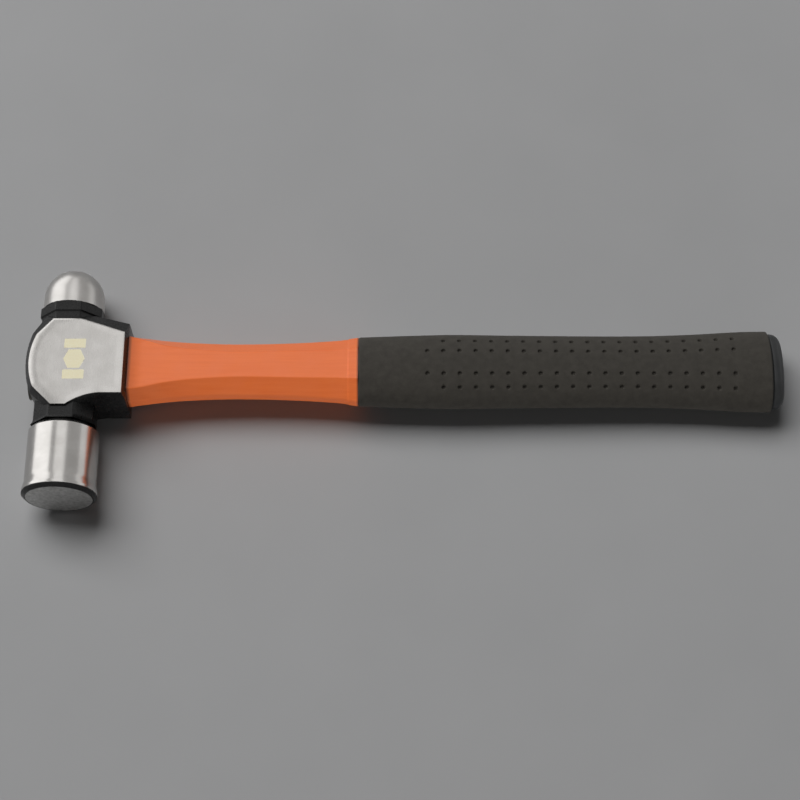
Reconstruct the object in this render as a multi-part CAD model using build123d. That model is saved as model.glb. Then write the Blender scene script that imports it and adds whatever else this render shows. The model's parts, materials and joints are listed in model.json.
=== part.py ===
from build123d import *
from math import cos, radians
import os

# Ball pein hammer: forged steel head on a jacketed glass-fibre handle.
# Working frame, in millimetres: the poll and ball lie on the Y axis, the handle lies on
# the X axis, and the two axes cross at the origin, inside the eye. The striking face
# looks towards -Y, the ball towards +Y, and the flat cheeks towards +Z and -Z.
# Every node is moved at the end so that the origin is under the middle of the whole
# hammer, at the height of the surface that it lies on.

# Driving dimensions: overall
OVERALL_LENGTH = 350.0     # back of the head to the butt of the handle
HEAD_BACK = 18.2           # handle axis: crossing point to the back of the head
BUTT_END = OVERALL_LENGTH - HEAD_BACK

# Driving dimensions: poll and striking face
FACE_RADIUS = 17.1         # land behind the face's chamfer, the widest part of the poll
FACE_Y = -63.5
FACE_CHAMFER = 1.5
LAND_Y = -60.2             # end of the land
FLARE_Y = -56.4            # where the poll starts to flare towards the land
POLL_RADIUS = 16.3
POLL_SHOULDER_Y = -30.8
POLL_BEVEL = 0.9
SHOULDER_LENGTH = 2.6
FLARE_BULGE = 0.3          # share of the flare's growth reached half way along it

# Driving dimensions: ball
BALL_RADIUS = 14.1
BALL_TIP_Y = 51.3
BALL_BASE_Y = 30.1
BALL_BASE_RADIUS = 14.4

# Driving dimensions: octagonal necks, measured across flats
POLL_NECK_FLATS = 27.6
BALL_NECK_FLATS = 27.2
BALL_COLLAR_FLATS = 28.8
BALL_COLLAR_Y = 24.4
COLLAR_CHAMFER = 0.8
NECK_ROOT_Y = 15.0         # where both necks end, inside the eye body
NECK_OVERLAP = 1.0         # how far a neck or a plug runs into the solid it joins
OCTAGON_TURN = 22.5        # degrees from the middle of a flat to a corner

# Driving dimensions: eye body between the necks
CHEEK_Z = 15.6             # handle axis to each flat cheek
WALL_Z = 11.0              # height at which the bevel round the cheek starts
SKIRT_X = 28.6             # end of the head on the handle side

# Corners of the eye body's two outlines, seen along Z: the flat cheek, and the wall
# below its bevel. Each runs from the ball's neck, down the skirt, under the hollow
# sweep to the poll's neck, and back up the bulged back of the head.
CHEEK_CORNERS = {
    "ball_left": (-6.2, 20.3),
    "ball_right": (6.4, 20.3),
    "skirt_ball": (SKIRT_X - 1.4, 13.2),
    "skirt_face": (SKIRT_X - 1.4, -17.1),
    "sweep_start": (17.0, -17.1),
    "sweep_middle": (10.4, -18.4),
    "face_right": (2.0, -22.8),
    "face_left": (-4.5, -22.8),
    "back_low": (-13.4, -14.0),
    "back": (-16.0, -1.0),
    "back_high": (-13.1, 12.6),
}
WALL_CORNERS = {
    "ball_left": (-10.2, 23.4),
    "ball_right": (12.9, 23.4),
    "skirt_ball": (SKIRT_X, 19.4),
    "skirt_face": (SKIRT_X, -18.9),
    "sweep_start": (17.5, -18.9),
    "sweep_middle": (10.9, -20.2),
    "face_right": (2.5, -24.8),
    "face_left": (-5.6, -24.8),
    "back_low": (-15.2, -15.6),
    "back": (-HEAD_BACK, -1.0),
    "back_high": (-16.0, 14.6),
}

# Driving dimensions: eye, the oval hole that takes the handle
EYE_HALF_WIDTH = 14.0
EYE_HALF_HEIGHT = 9.4
RESIN_RECESS = 0.8         # depth of the resin's face inside the eye
CUT_OVERRUN = 1.0          # how far a cutting solid runs past what it cuts

# Driving dimensions: glass-fibre core
CORE_WIDTH = 20.0
CORE_THICKNESS = 12.0
CORE_CORNER = 4.5
CORE_END_X = 315.0

# Driving dimensions: jacket and grip
GRIP_FRONT_X = 134.9
GRIP_END_X = 325.8
JACKET_END_X = 319.0
TANG_HALF_WIDTH = 13.4     # part of the jacket inside the grip
TANG_HALF_THICKNESS = 8.0

# Driving dimensions: butt cap
CAP_INSET = 1.3
CAP_CORNER = 4.6

# Jacket sections: distance along the handle, half width, half thickness,
# and half width of the flat panel on each broad side
JACKET_SECTIONS = [
    (SKIRT_X, 16.9, 10.5, 13.5),
    (35.0, 16.1, 9.4, 12.1),
    (46.0, 14.8, 8.8, 9.3),
    (58.0, 13.9, 8.6, 7.6),
    (78.0, 13.3, 8.5, 6.3),
    (103.0, 13.8, 8.7, 6.7),
    (125.0, 15.2, 9.1, 7.2),
    (GRIP_FRONT_X, 16.5, 9.7, 7.9),
]
JACKET_EDGE_HALF = 2.4     # half height of the narrow side flats
JACKET_EDGE_ROUND = 2.0

# Grip sections: distance along the handle, half width and half thickness of the oval
GRIP_SECTIONS = [
    (GRIP_FRONT_X, 17.0, 10.7),
    (155.0, 17.7, 11.2),
    (178.0, 18.3, 11.5),
    (203.0, 18.0, 11.3),
    (245.0, 17.6, 11.0),
    (270.0, 17.7, 11.0),
    (292.0, 18.5, 11.5),
    (312.0, 19.7, 12.2),
    (GRIP_END_X, 20.0, 12.4),
]


def across_handle(x):
    """Plane square to the handle, with its own X along the hammer's Y."""
    return Plane(origin=(x, 0, 0), x_dir=(0, 1, 0), z_dir=(1, 0, 0))


def across_head(y):
    """Plane square to the head's axis, facing the ball."""
    return Plane(origin=(0, y, 0), x_dir=(-1, 0, 0), z_dir=(0, 1, 0))


def octagon_neck(flats, y_from, y_to):
    """Octagonal prism on the head's axis, with one flat towards each cheek."""
    apothem = flats / 2
    corner_radius = apothem / cos(radians(OCTAGON_TURN))
    section = RegularPolygon(corner_radius, 8, rotation=OCTAGON_TURN)
    return extrude(across_head(y_from) * section, y_to - y_from)


def eye_outline(corners):
    """Face of the eye body's outline, from its named corners."""
    straights = ["back_high", "ball_left", "ball_right", "skirt_ball", "skirt_face", "sweep_start"]
    cut = ["face_right", "face_left", "back_low"]
    outline = Polyline(*[corners[name] for name in straights])
    outline += ThreePointArc(corners["sweep_start"], corners["sweep_middle"], corners["face_right"])
    outline += Polyline(*[corners[name] for name in cut])
    outline += ThreePointArc(corners["back_low"], corners["back"], corners["back_high"])
    return make_face(outline)


def eye_body():
    """Middle of the head: straight walls, a bevel on each side, and two flat cheeks."""
    wall = eye_outline(WALL_CORNERS)
    cheek = eye_outline(CHEEK_CORNERS)
    middle = extrude(Pos(0, 0, -WALL_Z) * wall, 2 * WALL_Z)
    bevel = loft([Pos(0, 0, WALL_Z) * wall, Pos(0, 0, CHEEK_Z) * cheek], ruled=True)
    return middle + bevel + mirror(bevel, about=Plane.XY)


def poll():
    """Turned poll: shoulder, bevel, cylinder, flare, land and chamfered face."""
    neck_radius = POLL_NECK_FLATS / 2
    shoulder_end = POLL_SHOULDER_Y + SHOULDER_LENGTH
    flare_radius = POLL_RADIUS + FLARE_BULGE * (FACE_RADIUS - POLL_RADIUS)
    flare_middle = (flare_radius, (FLARE_Y + LAND_Y) / 2)
    profile = Polyline(
        (FACE_RADIUS, LAND_Y),
        (FACE_RADIUS, FACE_Y + FACE_CHAMFER),
        (FACE_RADIUS - FACE_CHAMFER, FACE_Y),
        (0, FACE_Y),
        (0, shoulder_end),
        (neck_radius, shoulder_end),
        (POLL_RADIUS - POLL_BEVEL, POLL_SHOULDER_Y),
        (POLL_RADIUS, POLL_SHOULDER_Y - POLL_BEVEL),
        (POLL_RADIUS, FLARE_Y),
    )
    profile += ThreePointArc((POLL_RADIUS, FLARE_Y), flare_middle, (FACE_RADIUS, LAND_Y))
    return revolve(make_face(profile), Axis.Y)


def ball():
    """Pein: a hemisphere on a short stem that widens slightly towards the collar."""
    centre_y = BALL_TIP_Y - BALL_RADIUS
    profile = Polyline(
        (0, BALL_TIP_Y),
        (0, BALL_BASE_Y),
        (BALL_BASE_RADIUS, BALL_BASE_Y),
        (BALL_RADIUS, centre_y),
    )
    profile += CenterArc((0, centre_y), BALL_RADIUS, 0, 90)
    return revolve(make_face(profile), Axis.Y)


def ball_collar():
    """Octagonal collar under the ball, with its end edges chamfered."""
    collar = octagon_neck(BALL_COLLAR_FLATS, BALL_COLLAR_Y, BALL_BASE_Y)
    ends = collar.edges().filter_by(Axis.Y, reverse=True)
    return chamfer(ends, COLLAR_CHAMFER)


def eye_cutter():
    """Oval hole through the head along the handle's axis."""
    start = -HEAD_BACK - CUT_OVERRUN
    oval = Ellipse(EYE_HALF_WIDTH, EYE_HALF_HEIGHT)
    return extrude(across_handle(start) * oval, SKIRT_X + CUT_OVERRUN - start)


def head_forging():
    """One forging: the eye body, joined to the poll and to the ball by short necks."""
    forging = eye_body()
    forging += octagon_neck(POLL_NECK_FLATS, POLL_SHOULDER_Y + NECK_OVERLAP, -NECK_ROOT_Y)
    forging += poll()
    forging += octagon_neck(BALL_NECK_FLATS, NECK_ROOT_Y, BALL_COLLAR_Y + NECK_OVERLAP)
    forging += ball_collar()
    forging += ball()
    return forging - eye_cutter()


def core_section(x):
    return across_handle(x) * RectangleRounded(CORE_WIDTH, CORE_THICKNESS, CORE_CORNER)


def core_rod():
    """Pultruded glass-fibre rod, from the resin's face to just short of the jacket's end."""
    start = -HEAD_BACK + RESIN_RECESS
    return extrude(core_section(start), CORE_END_X - start)


def core_bore(x_from, x_to):
    return extrude(core_section(x_from), x_to - x_from)


def eye_resin():
    """Epoxy cast round the core, filling the eye up to the jacket."""
    start = -HEAD_BACK + RESIN_RECESS
    oval = Ellipse(EYE_HALF_WIDTH, EYE_HALF_HEIGHT)
    plug = extrude(across_handle(start) * oval, SKIRT_X - start)
    return plug - core_bore(start - CUT_OVERRUN, SKIRT_X + CUT_OVERRUN)


def jacket_section(x, half_width, half_thickness, panel_half_width):
    """Rounded octagon: broad flat panels, narrow side flats and sloping sides."""
    corners = [
        (half_width, JACKET_EDGE_HALF),
        (panel_half_width, half_thickness),
        (-panel_half_width, half_thickness),
        (-half_width, JACKET_EDGE_HALF),
        (-half_width, -JACKET_EDGE_HALF),
        (-panel_half_width, -half_thickness),
        (panel_half_width, -half_thickness),
        (half_width, -JACKET_EDGE_HALF),
    ]
    octagon = make_face(Polyline(*corners, close=True))
    rounded = fillet(octagon.vertices(), JACKET_EDGE_ROUND)
    return across_handle(x) * rounded


def jacket_tang(x_from, x_to):
    """Oval stretch of the jacket that the grip is pushed over."""
    oval = Ellipse(TANG_HALF_WIDTH, TANG_HALF_THICKNESS)
    return extrude(across_handle(x_from) * oval, x_to - x_from)


def handle_jacket():
    """Moulded jacket on the core: a waisted front and a tang inside the grip."""
    front = loft([jacket_section(*section) for section in JACKET_SECTIONS])
    jacket = front + jacket_tang(GRIP_FRONT_X - NECK_OVERLAP, JACKET_END_X)
    return jacket - core_bore(SKIRT_X - CUT_OVERRUN, CORE_END_X)


def grip_sleeve():
    """Rubber sleeve over the jacket's tang, swelling towards the butt."""
    ovals = [across_handle(x) * Ellipse(wide, thick) for x, wide, thick in GRIP_SECTIONS]
    return loft(ovals) - jacket_tang(GRIP_FRONT_X - CUT_OVERRUN, GRIP_END_X + CUT_OVERRUN)


def butt_cap():
    """Hard cap on the butt, with a plug that fits inside the sleeve's end."""
    end_x, end_half_width, end_half_thickness = GRIP_SECTIONS[-1]
    oval = Ellipse(end_half_width - CAP_INSET, end_half_thickness - CAP_INSET)
    cap = extrude(across_handle(end_x) * oval, BUTT_END - end_x)
    rim = cap.edges().group_by(Axis.X)[-1]
    cap = fillet(rim, CAP_CORNER)
    return cap + jacket_tang(JACKET_END_X, end_x + NECK_OVERLAP)


def stand_on_floor(solid):
    """Move a node from the working frame to the hammer's own frame."""
    middle_x = (BUTT_END - HEAD_BACK) / 2
    middle_y = (BALL_TIP_Y + FACE_Y) / 2
    return Pos(-middle_x, -middle_y, FACE_RADIUS) * solid


def write_parts():
    nodes = {
        "head_forging": head_forging(),
        "core_rod": core_rod(),
        "eye_resin": eye_resin(),
        "handle_jacket": handle_jacket(),
        "grip_sleeve": grip_sleeve(),
        "butt_cap": butt_cap(),
    }
    os.makedirs("parts", exist_ok=True)
    for name, solid in nodes.items():
        export_step(stand_on_floor(solid), f"parts/{name}.step")


write_parts()
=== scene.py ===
import json
from math import acos, atan2, ceil, cos, hypot, pi, radians, sin, tan

import bmesh
import bpy
from mathutils import Matrix, Vector


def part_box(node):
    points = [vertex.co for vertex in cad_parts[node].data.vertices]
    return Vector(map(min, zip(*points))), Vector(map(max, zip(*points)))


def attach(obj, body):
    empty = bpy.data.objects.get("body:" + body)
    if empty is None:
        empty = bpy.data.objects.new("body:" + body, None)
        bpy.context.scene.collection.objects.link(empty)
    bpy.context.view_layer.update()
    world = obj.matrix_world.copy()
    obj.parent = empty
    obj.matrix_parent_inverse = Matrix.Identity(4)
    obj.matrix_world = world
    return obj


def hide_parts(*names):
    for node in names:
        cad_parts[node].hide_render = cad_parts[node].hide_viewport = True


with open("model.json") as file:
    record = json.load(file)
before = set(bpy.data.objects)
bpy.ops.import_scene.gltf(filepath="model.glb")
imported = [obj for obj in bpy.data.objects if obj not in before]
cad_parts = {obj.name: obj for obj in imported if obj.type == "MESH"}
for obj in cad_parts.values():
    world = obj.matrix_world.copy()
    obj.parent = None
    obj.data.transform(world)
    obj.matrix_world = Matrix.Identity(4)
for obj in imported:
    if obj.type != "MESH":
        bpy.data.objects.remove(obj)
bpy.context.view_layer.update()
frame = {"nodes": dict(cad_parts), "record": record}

# Shapes are worked out in millimetres from the crossing point, where the axis of the
# poll and ball (along Y) meets the axis of the handle (along X). The flat cheeks look
# towards +Z and -Z. to_frame() turns such a point into metres in the shared frame.
MM = 0.001


def mount_place(name):
    """Position of one of the record's mounts, in metres."""
    found = [mount for mount in frame["record"]["mounts"] if mount["name"] == name]
    return Vector(found[0]["pos_m"])


def crossing_point():
    """Crossing of the two axes: over the striking face's middle, along the core's."""
    low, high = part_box("core_rod")
    middle = (low + high) / 2
    return Vector((mount_place("striking_face").x, middle.y, middle.z))


CROSSING = crossing_point()


def to_frame(point):
    return CROSSING + Vector(point) * MM


def box_mm(node):
    """A CAD node's lowest and highest corners, in millimetres from the crossing point."""
    low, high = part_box(node)
    return (low - CROSSING) / MM, (high - CROSSING) / MM


# Sizes read from the frame
HEAD_LOW, HEAD_HIGH = box_mm("head_forging")
RESIN_LOW, RESIN_HIGH = box_mm("eye_resin")
_, JACKET_HIGH = box_mm("handle_jacket")
GRIP_LOW, GRIP_HIGH = box_mm("grip_sleeve")
_, CAP_HIGH = box_mm("butt_cap")
_, CORE_HIGH = box_mm("core_rod")

HEAD_BACK = HEAD_LOW.x
SKIRT_X = HEAD_HIGH.x
FACE_Y = HEAD_LOW.y
BALL_TIP_Y = HEAD_HIGH.y
FACE_RADIUS = HEAD_HIGH.z
CHEEK_Z = (mount_place("cheek_upper").z - CROSSING.z) / MM
EYE_HALF_WIDTH = RESIN_HIGH.y
EYE_HALF_HEIGHT = RESIN_HIGH.z
GRIP_FRONT_X = GRIP_LOW.x
GRIP_END_X = GRIP_HIGH.x
JACKET_END_X = JACKET_HIGH.x
BUTT_X = CAP_HIGH.x

# Poll and striking face
FACE_CHAMFER = 1.5
LAND_Y = FACE_Y + 3.3
FLARE_Y = FACE_Y + 7.1
FACE_CROWN = 0.2
POLL_RADIUS = 16.3
POLL_SHOULDER_Y = -30.8
POLL_BEVEL = 0.9
SHOULDER_RADIUS = 13.0
SHOULDER_Y = -28.0
CROWN_STEPS = 8
TURNED_SEGMENTS = 144

# Roundings along the poll's profile
SHOULDER_ROUND = 0.35
BEVEL_ROUND = 0.5
FLARE_ROUND = 8.0
LAND_ROUND = 1.2
CHAMFER_ROUND = 0.4
FACE_ROUND = 0.3

# Ball, and the stem that carries it into the collar
BALL_RADIUS = 14.1
BALL_BASE_Y = 30.1
BALL_BASE_RADIUS = 14.4
BALL_STEM_RADIUS = 12.8
BALL_STEM_LENGTH = 2.0
BALL_BASE_GAP = 0.1
BALL_STEPS = 33

# Necks and collar, measured from the axis to a flat
POLL_NECK_FLAT = 13.8
BALL_NECK_FLAT = 13.6
COLLAR_FLAT = 14.4
COLLAR_Y = 24.4
COLLAR_CHAMFER = 1.0
COLLAR_ROUND = 0.7
COLLAR_STEPS = 6
NECK_ROOT_Y = 15.0
NECK_EDGE = 1.3
OCTAGON_TURN = 22.5  # degrees from the middle of a flat to a corner

# Outer end of each neck: how far it reaches into what it carries, and its flare
POLL_NECK_REACH = 1.6
POLL_NECK_FLARE = 0.9
POLL_NECK_FLARE_LENGTH = 3.0
BALL_NECK_REACH = 0.8
BALL_NECK_FLARE = 0.4
BALL_NECK_FLARE_LENGTH = 2.0
NECK_FLARE_POWER = 2.5
NECK_FLARE_STEPS = 8

# Eye body: height of its straight wall, and the rounding of the edges that turn by more
# than an angle in degrees
WALL_Z = 11.0
BODY_EDGE = 0.75
BODY_EDGE_ANGLE = 14
BODY_EDGE_STEPS = 4
SWEEP_STEPS = 12
BACK_STEPS = 20

# Rims of the cheeks, worn down by CHEEK_ROLL over a share of the way to the middle
CHEEK_MIDDLE = (6.0, -1.0)
CHEEK_ROLL = 0.5
CHEEK_ROLL_SHARE = 0.18
CHEEK_ROLL_STEPS = 5

# Mouth of the eye. The cutter starts outside the head with two ovals, each given by its
# growth beyond the eye and its depth from the back
EYE_MOUTH = 1.0
EYE_MOUTH_STEPS = 8
EYE_CUTTER_START = ((1.5, -5.0), (0.95, -0.3))
EYE_CUTTER_OVERRUN = 1.0
OVAL_SEGMENTS = 96

# Corners of the eye body's outlines, seen along Z: the cheek, and the wall under its bevel
CHEEK_CORNERS = {
    "ball_left": (-6.2, 20.3),
    "ball_right": (6.4, 20.3),
    "skirt_ball": (SKIRT_X - 1.4, 13.2),
    "skirt_face": (SKIRT_X - 1.4, -17.1),
    "sweep_start": (17.0, -17.1),
    "sweep_middle": (10.4, -18.4),
    "face_right": (2.0, -22.8),
    "face_left": (-4.5, -22.8),
    "back_low": (-13.4, -14.0),
    "back": (-16.0, -1.0),
    "back_high": (-13.1, 12.6),
}
WALL_CORNERS = {
    "ball_left": (-10.2, 23.4),
    "ball_right": (12.9, 23.4),
    "skirt_ball": (SKIRT_X, 19.4),
    "skirt_face": (SKIRT_X, -18.9),
    "sweep_start": (17.5, -18.9),
    "sweep_middle": (10.9, -20.2),
    "face_right": (2.5, -24.8),
    "face_left": (-5.6, -24.8),
    "back_low": (-15.2, -15.6),
    "back": (HEAD_BACK, -1.0),
    "back_high": (-16.0, 14.6),
}

# Places along the head's axis where black paint gives way to bare steel, how far in it
# reaches on the striking face, and how soft and how ragged the paint's edge is
CHEEK_PAINT_FACE_Y = -25.4
CHEEK_PAINT_BALL_Y = 21.9
POLL_PAINT_Y = POLL_SHOULDER_Y - 0.25
LAND_PAINT_Y = LAND_Y - 1.35
PEIN_PAINT_Y = BALL_BASE_Y + 0.15
FACE_PAINT_Y = FACE_Y + 0.45
FACE_PAINT_RADIUS = FACE_RADIUS - FACE_CHAMFER - 0.5
PAINT_SOFT = 0.1
FACE_PAINT_SOFT = 0.07
PAINT_RAGGED = 0.12

# Height at which the paint ends under a cheek's rim
CHEEK_PAINT_Z = CHEEK_Z - CHEEK_ROLL - 0.24
CHEEK_PAINT_SOFT = 0.08

# Jacket sections: distance along the handle, half width, half thickness and half width
# of the flat panel on each broad side
JACKET_SECTIONS = [
    (SKIRT_X, 16.9, 10.5, 13.5),
    (35.0, 16.1, 9.4, 12.1),
    (46.0, 14.8, 8.8, 9.3),
    (58.0, 13.9, 8.6, 7.6),
    (78.0, 13.3, 8.5, 6.3),
    (103.0, 13.8, 8.7, 6.7),
    (125.0, 15.2, 9.1, 7.2),
    (GRIP_FRONT_X, 16.5, 9.7, 7.9),
]
JACKET_EDGE_HALF = 2.4
PANEL_EDGE_ROUND = 1.1
SIDE_EDGE_ROUND = 2.6
JACKET_FLARE_LENGTH = 8.0
JACKET_STEP = 1.0
JACKET_FINE_STEP = 0.5

# Raised band where the jacket meets the grip
BAND_LENGTH = 4.6
BAND_HEIGHT = 0.3
BAND_RISE = 0.8
BAND_MARGIN = 1.0
BAND_STEP = 0.2

# Part of the jacket inside the grip, and the core's bore through it
TANG_HALF_WIDTH = 13.4
TANG_HALF_THICKNESS = 8.0
CORE_CORNER = 4.5

# Grip sections: distance along the handle, half width and half thickness of the oval
GRIP_SECTIONS = [
    (GRIP_FRONT_X, 17.0, 10.7),
    (155.0, 17.7, 11.2),
    (178.0, 18.3, 11.5),
    (203.0, 18.0, 11.3),
    (245.0, 17.6, 11.0),
    (270.0, 17.7, 11.0),
    (292.0, 18.5, 11.5),
    (312.0, 19.7, 12.2),
    (GRIP_END_X, 20.0, 12.4),
]
GRIP_LIP = 0.9
GRIP_LIP_STEPS = 6
GRIP_STEP = 1.6
GRIP_ANGLE_STEP = 0.1

# Dimples pressed into both broad sides of the grip: two inner and two outer rows a side
DIMPLE_COUNT = 20
DIMPLE_PITCH = 7.45
DIMPLE_LAST_X = GRIP_END_X - 17.3
DIMPLE_ROWS_Y = (5.6, 11.5)
DIMPLE_RADIUS = 1.1
DIMPLE_DEPTH = 1.1
DIMPLE_FLOOR_SHARE = 0.5
DIMPLE_RIM_SHARE = 0.62

# Square cell of the grip's grid round each dimple, whose inner part is bent into circles
DIMPLE_CELL = 1.7
CELL_ROUND_SHARE = 0.74
CELL_STEPS = (-1.0, -0.74, -0.64, -0.54, -0.38, -0.19, 0.0, 0.19, 0.38, 0.54, 0.64, 0.74, 1.0)

# Butt cap
CAP_INSET = 1.3
CAP_CORNER = 4.6
CAP_FLAT_HALF = 2.0
CAP_STEPS = 10

# Groove between the cap and the sleeve: its depth, its width and its roundings
CAP_GROOVE = 0.5
CAP_GROOVE_WIDTH = 0.9
CAP_GROOVE_ROUND = 0.45
CAP_GROOVE_EDGE = 0.4
CAP_FOOT = 1.2

# Epoxy in the eye: the sag of its poured face, and its overlap with the core
RESIN_SAG = 0.9
RESIN_SAG_POWER = 0.8
RESIN_STEPS = 12
RESIN_OVERLAP = 1.0

# Printed mark on the upper cheek: a hexagon between two bars
MARK_CENTRE = (4.8, -0.5)
MARK_WIDTH = 9.9
MARK_LENGTH = 20.2
MARK_BAR = 4.6
MARK_HEXAGON = 9.4
MARK_HEXAGON_FLAT = 0.55
MARK_HEXAGON_ROUND = 0.5
MARK_BAR_ROUND = 0.4
MARK_THICKNESS = 0.05


# Outlines and profiles

def arc_through(start, middle, end, steps):
    """Points after start, up to and with end, on the circle through three points."""
    (ax, ay), (bx, by), (cx, cy) = start, middle, end
    twice = 2 * (ax * (by - cy) + bx * (cy - ay) + cx * (ay - by))
    a2, b2, c2 = ax * ax + ay * ay, bx * bx + by * by, cx * cx + cy * cy
    ox = (a2 * (by - cy) + b2 * (cy - ay) + c2 * (ay - by)) / twice
    oy = (a2 * (cx - bx) + b2 * (ax - cx) + c2 * (bx - ax)) / twice
    radius = hypot(ax - ox, ay - oy)
    first = atan2(ay - oy, ax - ox)
    turn = (atan2(cy - oy, cx - ox) - first + pi) % (2 * pi) - pi
    angles = [first + turn * i / steps for i in range(1, steps + 1)]
    return [(ox + radius * cos(a), oy + radius * sin(a)) for a in angles]


def rounded(corners, steps=5, closed=False):
    """Straight runs between corners (x, y, radius), with an arc at each corner."""
    points = []
    count = len(corners)
    for i, (x, y, radius) in enumerate(corners):
        at_end = i in (0, count - 1) and not closed
        if radius == 0 or at_end:
            points.append((x, y))
            continue
        here = Vector((x, y))
        back = (Vector(corners[i - 1][:2]) - here).normalized()
        ahead = (Vector(corners[(i + 1) % count][:2]) - here).normalized()
        half = back.angle(ahead) / 2
        centre = here + (back + ahead).normalized() * (radius / sin(half))
        start = here + back * (radius / tan(half)) - centre
        end = here + ahead * (radius / tan(half)) - centre
        for k in range(steps + 1):
            points.append(tuple(centre + start.slerp(end, k / steps) * radius))
    return points


def smooth_between(table, x):
    """Row of a table at x, on smooth curves through its rows."""
    last = len(table) - 1
    i = 0
    while i < last - 1 and table[i + 1][0] < x:
        i += 1
    before, low, high, after = (table[max(0, min(last, i + k))] for k in (-1, 0, 1, 2))
    span = high[0] - low[0]
    t = max(0.0, min(1.0, (x - low[0]) / span))
    values = []
    for b, p, q, a in zip(before[1:], low[1:], high[1:], after[1:]):
        slope_low = (q - b) / (high[0] - before[0]) * span
        slope_high = (a - p) / (after[0] - low[0]) * span
        cubic = (2 * t**3 - 3 * t**2 + 1) * p + (t**3 - 2 * t**2 + t) * slope_low
        cubic += (3 * t**2 - 2 * t**3) * q + (t**3 - t**2) * slope_high
        values.append(cubic)
    return values


def ease(t):
    t = max(0.0, min(1.0, t))
    return t * t * (3 - 2 * t)


def spread(start, end, step):
    """Evenly spaced values after start, up to and with end, at most a step apart."""
    count = max(1, ceil(abs(end - start) / step))
    return [start + (end - start) * i / count for i in range(1, count + 1)]


def oval_ring(x, half_width, half_thickness, angles):
    """Points of an oval across the handle, at the given angles from +Y."""
    return [(x, half_width * cos(a), half_thickness * sin(a)) for a in angles]


def even_angles(count):
    return [2 * pi * i / count for i in range(count)]


# Meshes

CLOSE_POINTS = 0.001  # millimetres within which two points become one


def new_piece(name, bm):
    """Object with the mesh of bm, in millimetres from the crossing until it is placed."""
    bmesh.ops.recalc_face_normals(bm, faces=bm.faces)
    mesh = bpy.data.meshes.new(name)
    bm.to_mesh(mesh)
    bm.free()
    piece = bpy.data.objects.new(name, mesh)
    bpy.context.scene.collection.objects.link(piece)
    return piece


def place_in_frame(piece):
    """Turn a piece's millimetres from the crossing into metres in the shared frame."""
    piece.data.transform(Matrix.LocRotScale(CROSSING, None, Vector((MM,) * 3)))


def skin(rings, ends="flat"):
    """Mesh skinned over closed rings with the same number of points.

    The ends are flat faces, or "joined" where the last ring meets the first."""
    bm = bmesh.new()
    made = [[bm.verts.new(point) for point in ring] for ring in rings]
    pairs = list(zip(made, made[1:]))
    if ends == "joined":
        pairs.append((made[-1], made[0]))
    for low, high in pairs:
        for i in range(len(low)):
            j = (i + 1) % len(low)
            bm.faces.new((low[i], low[j], high[j], high[i]))
    if ends == "flat":
        bm.faces.new(made[0])
        bm.faces.new(made[-1])
    return bm


def turned(profile):
    """Mesh of a profile of (radius, y) points turned about the head's axis, its ends flat."""
    half_step = pi / TURNED_SEGMENTS
    angles = [angle + half_step for angle in even_angles(TURNED_SEGMENTS)]
    rings = [[(radius * sin(a), y, radius * cos(a)) for a in angles] for radius, y in profile]
    return skin(rings)


def settle(piece):
    """Apply the piece's modifiers to its mesh."""
    bpy.context.view_layer.update()
    graph = bpy.context.evaluated_depsgraph_get()
    made = bpy.data.meshes.new_from_object(piece.evaluated_get(graph))
    piece.modifiers.clear()
    piece.data = made
    made.name = piece.name


def merge_close_points(piece):
    """Join the points that a cut leaves almost on top of each other."""
    bm = bmesh.new()
    bm.from_mesh(piece.data)
    bmesh.ops.remove_doubles(bm, verts=bm.verts, dist=CLOSE_POINTS)
    bmesh.ops.dissolve_degenerate(bm, edges=bm.edges, dist=CLOSE_POINTS)
    bm.to_mesh(piece.data)
    bm.free()


def combine(target, tool, operation):
    """Unite the target with another closed piece, or cut that piece out of it."""
    modifier = target.modifiers.new("combine", "BOOLEAN")
    modifier.operation = operation
    modifier.solver = "EXACT"
    modifier.object = tool
    settle(target)
    merge_close_points(target)
    bpy.data.objects.remove(tool)


def shade(piece, sharp_angle):
    """Smooth shading, except over edges sharper than the angle, led by the large faces."""
    mesh = piece.data
    mesh.polygons.foreach_set("use_smooth", [True] * len(mesh.polygons))
    mesh.set_sharp_from_angle(angle=radians(sharp_angle))
    modifier = piece.modifiers.new("large faces lead", "WEIGHTED_NORMAL")
    modifier.keep_sharp = True
    settle(piece)


# Head

def eye_outline(corners):
    """Closed outline of the eye body through its named corners, arcs included."""
    names = ["back_high", "ball_left", "ball_right", "skirt_ball", "skirt_face", "sweep_start"]
    points = [corners[name] for name in names]
    sweep = [corners[name] for name in ("sweep_start", "sweep_middle", "face_right")]
    points += arc_through(*sweep, SWEEP_STEPS)
    points += [corners["face_left"], corners["back_low"]]
    back = [corners[name] for name in ("back_low", "back", "back_high")]
    points += arc_through(*back, BACK_STEPS)[:-1]
    return points


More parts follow.
